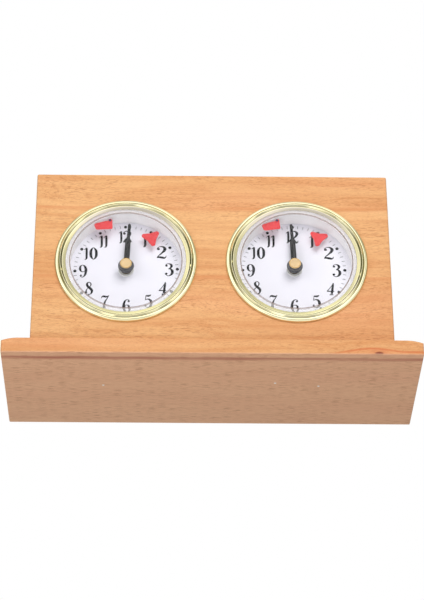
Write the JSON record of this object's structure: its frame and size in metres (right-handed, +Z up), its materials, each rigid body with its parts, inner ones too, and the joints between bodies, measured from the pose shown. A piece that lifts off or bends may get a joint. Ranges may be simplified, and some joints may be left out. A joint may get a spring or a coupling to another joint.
{
  "type": "chess clock",
  "caption": "Mechanical chess clock: two spring-driven clocks with drop flags in a beech case, and push buttons on a rocker that stops one clock and frees the other.",
  "frame": {"origin": "centre of the base board's underside", "axes": "+Z up, +X to the right of someone facing the dials, +Y from the dials into the clock"},
  "size_m": [0.22, 0.078, 0.1241],
  "materials": {
    "beech": "clear-lacquered beech, satin",
    "bezel_gold": "pale gold anodised rolled ring, polished",
    "crystal": "clear, polished",
    "white_plastic": "white moulding, satin",
    "dial_white": "white enamel paint, printed in black",
    "black_lacquer": "black lacquer, satin",
    "red_lacquer": "red lacquer, satin",
    "brass": "turned and lacquered brass",
    "steel": "bright steel",
    "blued_steel": "blued spring steel"
  },
  "bodies": {
    "case": {"base_board": "beech", "front_panel": "beech", "side_panel_left": "beech", "side_panel_right": "beech", "top_panel": "beech", "back_panel": "beech", "rocker_bracket": "steel", "bezel_left": "bezel_gold", "crystal_left": "crystal", "dial_surround_left": "white_plastic", "dial_left": "dial_white", "front_plate_left": "brass", "back_plate_left": "brass", "mainspring_left": "blued_steel", "bezel_right": "bezel_gold", "crystal_right": "crystal", "dial_surround_right": "white_plastic", "dial_right": "dial_white", "front_plate_right": "brass", "back_plate_right": "brass", "mainspring_right": "blued_steel"},
    "rocker": {"rocker_beam": "steel"},
    "left_button": {"button_left": "brass"},
    "right_button": {"button_right": "brass"},
    "left_hands": {"center_arbor_left": "brass", "minute_hand_left": "black_lacquer", "setting_knob_left": "brass"},
    "left_motion_wheel": {"minute_wheel_left": "brass"},
    "left_hour_work": {"hour_wheel_left": "brass", "hour_hand_left": "black_lacquer"},
    "left_great": {"great_wheel_left": "brass"},
    "left_winding": {"winding_arbor_left": "steel", "winding_key_left": "brass"},
    "left_center": {"center_wheel_left": "brass"},
    "left_third": {"third_wheel_left": "brass"},
    "left_fourth": {"fourth_wheel_left": "brass"},
    "left_escape": {"escape_wheel_left": "steel", "tick_star_left": "red_lacquer"},
    "left_pallet": {"pallet_lever_left": "steel"},
    "left_balance": {"balance_wheel_left": "brass", "hairspring_left": "blued_steel"},
    "left_flag": {"flag_left": "red_lacquer"},
    "right_hands": {"center_arbor_right": "brass", "minute_hand_right": "black_lacquer", "setting_knob_right": "brass"},
    "right_motion_wheel": {"minute_wheel_right": "brass"},
    "right_hour_work": {"hour_wheel_right": "brass", "hour_hand_right": "black_lacquer"},
    "right_great": {"great_wheel_right": "brass"},
    "right_winding": {"winding_arbor_right": "steel", "winding_key_right": "brass"},
    "right_center": {"center_wheel_right": "brass"},
    "right_third": {"third_wheel_right": "brass"},
    "right_fourth": {"fourth_wheel_right": "brass"},
    "right_escape": {"escape_wheel_right": "steel", "tick_star_right": "red_lacquer"},
    "right_pallet": {"pallet_lever_right": "steel"},
    "right_balance": {"balance_wheel_right": "brass", "hairspring_right": "blued_steel"},
    "right_flag": {"flag_right": "red_lacquer"}
  },
  "joints": [
    {"name": "rocker_tilt", "type": "hinge", "parent": "case", "child": "rocker", "pos_m": [0, 0, 0.0966], "axis": [0, 1, 0], "range_deg": [-4.39, 4.39]},
    {"name": "button_left_travel", "type": "slide", "parent": "case", "child": "left_button", "axis": [0, 0, 1], "range_m": [-0.0035, 0.0035]},
    {"name": "button_right_travel", "type": "slide", "parent": "case", "child": "right_button", "axis": [0, 0, 1], "range_m": [-0.0035, 0.0035]},
    {"name": "left_hands_turn", "type": "hinge", "parent": "case", "child": "left_hands", "pos_m": [-0.0461, 0, 0.0587], "axis": [0, 1, 0], "continuous": true},
    {"name": "left_motion_wheel_turn", "type": "hinge", "parent": "case", "child": "left_motion_wheel", "pos_m": [-0.0421, 0, 0.05177], "axis": [0, 1, 0], "continuous": true},
    {"name": "left_hour_turn", "type": "hinge", "parent": "case", "child": "left_hour_work", "pos_m": [-0.0461, 0, 0.0587], "axis": [0, 1, 0], "continuous": true},
    {"name": "left_third_turn", "type": "hinge", "parent": "case", "child": "left_third", "pos_m": [-0.04821, 0, 0.07067], "axis": [0, 1, 0], "continuous": true},
    {"name": "left_center_turn", "type": "hinge", "parent": "case", "child": "left_center", "pos_m": [-0.0461, 0, 0.0587], "axis": [0, 1, 0], "continuous": true},
    {"name": "left_great_turn", "type": "hinge", "parent": "case", "child": "left_great", "pos_m": [-0.05574, 0, 0.04494], "axis": [0, 1, 0], "continuous": true},
    {"name": "left_fourth_turn", "type": "hinge", "parent": "case", "child": "left_fourth", "pos_m": [-0.03824, 0, 0.0685], "axis": [0, 1, 0], "continuous": true},
    {"name": "left_escape_turn", "type": "hinge", "parent": "case", "child": "left_escape", "pos_m": [-0.0328, 0, 0.0772], "axis": [0, 1, 0], "continuous": true},
    {"name": "left_winding", "type": "hinge", "parent": "left_great", "child": "left_winding", "pos_m": [-0.05574, 0, 0.04494], "axis": [0, 1, 0], "range_deg": [0, 1440]},
    {"name": "left_pallet_rock", "type": "hinge", "parent": "case", "child": "left_pallet", "pos_m": [-0.03928, 0, 0.07956], "axis": [0, 1, 0], "range_deg": [-9, 9]},
    {"name": "left_balance_swing", "type": "hinge", "parent": "case", "child": "left_balance", "pos_m": [-0.04846, 0, 0.08202], "axis": [0, 1, 0], "range_deg": [-150, 150]},
    {"name": "left_flag_drop", "type": "hinge", "parent": "case", "child": "left_flag", "pos_m": [-0.0553, 0, 0.0864], "axis": [0, -1, 0], "range_deg": [0, 75]},
    {"name": "right_hands_turn", "type": "hinge", "parent": "case", "child": "right_hands", "pos_m": [0.0444, 0, 0.0595], "axis": [0, 1, 0], "continuous": true},
    {"name": "right_motion_wheel_turn", "type": "hinge", "parent": "case", "child": "right_motion_wheel", "pos_m": [0.0484, 0, 0.05257], "axis": [0, 1, 0], "continuous": true},
    {"name": "right_hour_turn", "type": "hinge", "parent": "case", "child": "right_hour_work", "pos_m": [0.0444, 0, 0.0595], "axis": [0, 1, 0], "continuous": true},
    {"name": "right_third_turn", "type": "hinge", "parent": "case", "child": "right_third", "pos_m": [0.04229, 0, 0.07147], "axis": [0, 1, 0], "continuous": true},
    {"name": "right_center_turn", "type": "hinge", "parent": "case", "child": "right_center", "pos_m": [0.0444, 0, 0.0595], "axis": [0, 1, 0], "continuous": true},
    {"name": "right_great_turn", "type": "hinge", "parent": "case", "child": "right_great", "pos_m": [0.03476, 0, 0.04574], "axis": [0, 1, 0], "continuous": true},
    {"name": "right_fourth_turn", "type": "hinge", "parent": "case", "child": "right_fourth", "pos_m": [0.05226, 0, 0.0693], "axis": [0, 1, 0], "continuous": true},
    {"name": "right_escape_turn", "type": "hinge", "parent": "case", "child": "right_escape", "pos_m": [0.0577, 0, 0.078], "axis": [0, 1, 0], "continuous": true},
    {"name": "right_winding", "type": "hinge", "parent": "right_great", "child": "right_winding", "pos_m": [0.03476, 0, 0.04574], "axis": [0, 1, 0], "range_deg": [0, 1440]},
    {"name": "right_pallet_rock", "type": "hinge", "parent": "case", "child": "right_pallet", "pos_m": [0.05122, 0, 0.08036], "axis": [0, 1, 0], "range_deg": [-9, 9]},
    {"name": "right_balance_swing", "type": "hinge", "parent": "case", "child": "right_balance", "pos_m": [0.04204, 0, 0.08282], "axis": [0, 1, 0], "range_deg": [-150, 150]},
    {"name": "right_flag_drop", "type": "hinge", "parent": "case", "child": "right_flag", "pos_m": [0.0352, 0, 0.0872], "axis": [0, -1, 0], "range_deg": [0, 75]}
  ],
  "couplings": [
    {"joint": "button_left_travel", "follows": "rocker_tilt", "m_per_rad": 0.04565},
    {"joint": "button_right_travel", "follows": "rocker_tilt", "m_per_rad": -0.04565},
    {"joint": "left_motion_wheel_turn", "follows": "left_hands_turn", "ratio": -0.33333},
    {"joint": "left_hour_turn", "follows": "left_hands_turn", "ratio": 0.083333},
    {"joint": "left_center_turn", "follows": "left_third_turn", "ratio": -0.125},
    {"joint": "left_great_turn", "follows": "left_third_turn", "ratio": 0.020833},
    {"joint": "left_fourth_turn", "follows": "left_third_turn", "ratio": -7.5},
    {"joint": "left_escape_turn", "follows": "left_third_turn", "ratio": 60},
    {"joint": "right_motion_wheel_turn", "follows": "right_hands_turn", "ratio": -0.33333},
    {"joint": "right_hour_turn", "follows": "right_hands_turn", "ratio": 0.083333},
    {"joint": "right_center_turn", "follows": "right_third_turn", "ratio": -0.125},
    {"joint": "right_great_turn", "follows": "right_third_turn", "ratio": 0.020833},
    {"joint": "right_fourth_turn", "follows": "right_third_turn", "ratio": -7.5},
    {"joint": "right_escape_turn", "follows": "right_third_turn", "ratio": 60}
  ]
}
